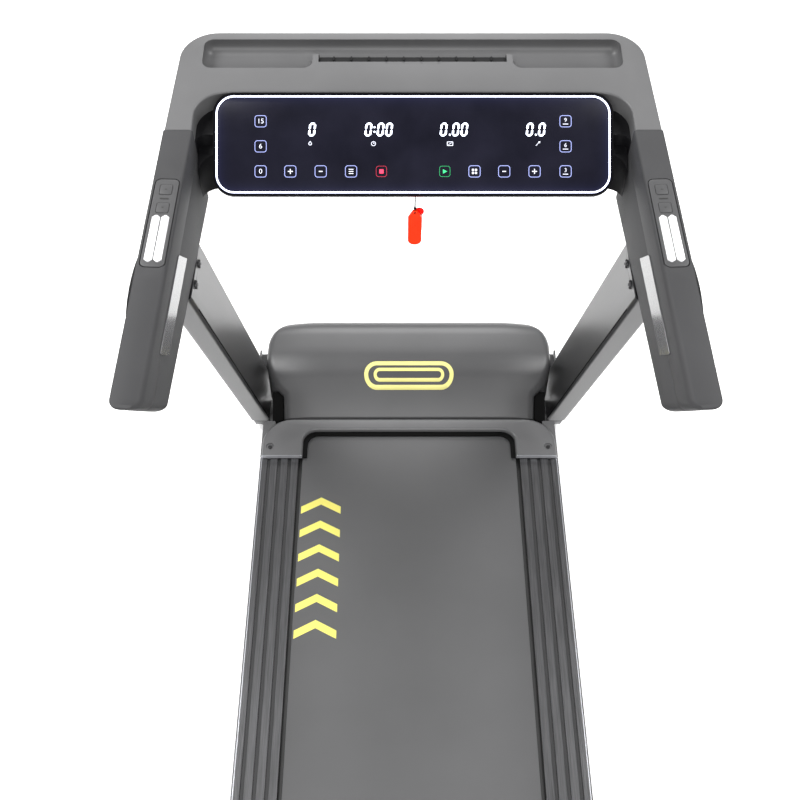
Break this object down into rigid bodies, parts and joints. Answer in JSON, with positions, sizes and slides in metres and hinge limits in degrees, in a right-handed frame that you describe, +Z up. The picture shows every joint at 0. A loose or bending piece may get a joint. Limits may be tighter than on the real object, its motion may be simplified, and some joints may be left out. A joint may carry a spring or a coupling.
{
  "type": "folding motorised treadmill",
  "caption": "Folding motorised treadmill with flat deck, motor hood, two leaning uprights, handlebars with keys and pulse plates, touch console, safety key, power incline and gas strut.",
  "frame": {"origin": "middle of the footprint, on the floor", "axes": "+X to the right of a runner who faces the console, +Y forward from the rear of the deck to the motor hood, +Z up"},
  "size_m": [0.7846, 1.68, 1.0476],
  "materials": {
    "frame_paint": "powder coat, satin",
    "upright_paint": "smooth paint, semi-gloss",
    "foot_rubber": "matt",
    "steel": "turned",
    "console_plastic": "fine texture",
    "shell_plastic": "fine texture",
    "display_panel": "polished",
    "light_border": "translucent",
    "inlay_plastic": "polished",
    "contact_steel": "polished",
    "board_wood": "waxed",
    "belt_rubber": "fine diamond texture",
    "rail_aluminium": "grey anodised with grooves",
    "cap_plastic": "fine texture",
    "hood_plastic": "fine grain",
    "motor_paint": "gloss",
    "controller_plastic": "moulded",
    "switch_plastic": "moulded",
    "key_plastic": "moulded",
    "cord_fabric": "braided"
  },
  "bodies": {
    "stand": {"base_frame": "frame_paint", "base_feet": "foot_rubber", "upright_left": "upright_paint", "upright_right": "upright_paint", "upright_bolts": "steel", "handlebar_frame": "frame_paint", "console_top_cover": "console_plastic", "console_lower_cover": "shell_plastic", "display_glass": "display_panel", "display_light_frame": "light_border", "device_pad": "foot_rubber", "grip_left": "shell_plastic", "grip_right": "shell_plastic", "grip_lower_shells": "shell_plastic", "grip_inlays": "inlay_plastic", "keypad_bezels": "console_plastic", "pulse_plates": "contact_steel", "key_socket": "shell_plastic", "wheel_axles": "steel"},
    "wheel_left": {"transport_wheel_left": "foot_rubber"},
    "wheel_right": {"transport_wheel_right": "foot_rubber"},
    "incline_arms": {"incline_frame": "frame_paint"},
    "carriage": {"fold_pins": "steel", "strut_bracket": "frame_paint"},
    "deck": {"deck_frame": "frame_paint", "running_board": "board_wood", "board_cushions": "foot_rubber", "running_belt": "belt_rubber", "side_rail_left": "rail_aluminium", "side_rail_right": "rail_aluminium", "rail_end_caps": "cap_plastic", "motor_hood": "hood_plastic", "hood_bezel": "hood_plastic", "hood_screws": "steel", "belly_pan": "cap_plastic", "drive_motor": "motor_paint", "motor_controller": "controller_plastic", "roller_axles": "steel", "belt_adjusters": "steel", "drive_belt": "belt_rubber", "rear_feet": "foot_rubber", "power_inlet": "cap_plastic"},
    "rocker": {"power_switch": "switch_plastic"},
    "front_roller": {"front_roller": "steel"},
    "rear_roller": {"rear_roller": "steel"},
    "motor_shaft": {"motor_pulley": "steel"},
    "actuator": {"actuator_body": "motor_paint"},
    "actuator_rod": {"actuator_screw": "steel"},
    "strut_tube": {"strut_cylinder": "motor_paint"},
    "strut_piston": {"strut_rod": "steel"},
    "incline_up": {"incline_up_button": "console_plastic"},
    "incline_down": {"incline_down_button": "console_plastic"},
    "speed_up": {"speed_up_button": "console_plastic"},
    "speed_down": {"speed_down_button": "console_plastic"},
    "key": {"safety_key": "key_plastic", "safety_cord": "cord_fabric", "clip_front_jaw": "key_plastic"},
    "clip_jaw": {"clip_back_jaw": "key_plastic"}
  },
  "joints": [
    {"name": "wheel_left_spin", "type": "hinge", "parent": "stand", "child": "wheel_left", "pos_m": [-0.33225, 0.808, 0.0305], "axis": [1, 0, 0], "continuous": true},
    {"name": "wheel_right_spin", "type": "hinge", "parent": "stand", "child": "wheel_right", "pos_m": [0.33225, 0.808, 0.0305], "axis": [1, 0, 0], "continuous": true},
    {"name": "incline", "type": "hinge", "parent": "stand", "child": "incline_arms", "pos_m": [0, 0.33, 0.032], "axis": [1, 0, 0], "range_deg": [0, 20]},
    {"name": "deck_level", "type": "hinge", "parent": "incline_arms", "child": "carriage", "pos_m": [0, 0.71, 0.1], "axis": [1, 0, 0], "range_deg": [-16, 0]},
    {"name": "deck_fold", "type": "hinge", "parent": "carriage", "child": "deck", "pos_m": [0, 0.71, 0.1], "axis": [-1, 0, 0], "range_deg": [0, 60]},
    {"name": "switch_rock", "type": "hinge", "parent": "deck", "child": "rocker", "pos_m": [0.177, 0.784, 0.106], "axis": [1, 0, 0], "range_deg": [0, 14]},
    {"name": "front_roller_spin", "type": "hinge", "parent": "deck", "child": "front_roller", "pos_m": [0, 0.535, 0.1363], "axis": [1, 0, 0], "continuous": true},
    {"name": "rear_roller_spin", "type": "hinge", "parent": "deck", "child": "rear_roller", "pos_m": [0, -0.775, 0.1363], "axis": [1, 0, 0], "continuous": true},
    {"name": "motor_spin", "type": "hinge", "parent": "deck", "child": "motor_shaft", "pos_m": [0, 0.69, 0.152], "axis": [1, 0, 0], "continuous": true},
    {"name": "actuator_swing", "type": "hinge", "parent": "stand", "child": "actuator", "pos_m": [0, 0.62, 0.04], "axis": [1, 0, 0], "range_deg": [-4, 0]},
    {"name": "actuator_extend", "type": "slide", "parent": "actuator", "child": "actuator_rod", "axis": [0, -0.9873, 0.1588], "range_m": [0, 0.0225]},
    {"name": "strut_swing", "type": "hinge", "parent": "carriage", "child": "strut_tube", "pos_m": [0.205, 0.615, 0.056], "axis": [-1, 0, 0], "range_deg": [0, 64.5]},
    {"name": "strut_extend", "type": "slide", "parent": "strut_tube", "child": "strut_piston", "axis": [0, -0.9989, 0.0479], "range_m": [0, 0.0915]},
    {"name": "incline_up_press", "type": "slide", "parent": "stand", "child": "incline_up", "axis": [0, 0.1063, -0.9943], "range_m": [0, 0.0015], "stiffness_N_per_m": 300, "springref_m": -0.001},
    {"name": "incline_down_press", "type": "slide", "parent": "stand", "child": "incline_down", "axis": [0, 0.1063, -0.9943], "range_m": [0, 0.0015], "stiffness_N_per_m": 300, "springref_m": -0.001},
    {"name": "speed_up_press", "type": "slide", "parent": "stand", "child": "speed_up", "axis": [0, 0.1063, -0.9943], "range_m": [0, 0.0015], "stiffness_N_per_m": 300, "springref_m": -0.001},
    {"name": "speed_down_press", "type": "slide", "parent": "stand", "child": "speed_down", "axis": [0, 0.1063, -0.9943], "range_m": [0, 0.0015], "stiffness_N_per_m": 300, "springref_m": -0.001},
    {"name": "key_pull", "type": "slide", "parent": "stand", "child": "key", "axis": [0, -0.5, -0.866], "range_m": [0, 0.02]},
    {"name": "clip_open", "type": "hinge", "parent": "key", "child": "clip_jaw", "pos_m": [0.006, 0.4402, 0.862], "axis": [1, 0, 0], "range_deg": [0, 10], "stiffness_Nm_per_rad": 0.3}
  ],
  "couplings": [
    {"joint": "deck_level", "follows": "incline", "ratio": -0.7585},
    {"joint": "rear_roller_spin", "follows": "front_roller_spin", "ratio": 1},
    {"joint": "motor_spin", "follows": "front_roller_spin", "ratio": 1.862},
    {"joint": "actuator_swing", "follows": "incline", "ratio": -0.1635},
    {"joint": "actuator_extend", "follows": "incline", "m_per_rad": 0.063},
    {"joint": "strut_swing", "follows": "deck_fold", "ratio": 1.0637},
    {"joint": "strut_extend", "follows": "deck_fold", "m_per_rad": 0.0862}
  ]
}
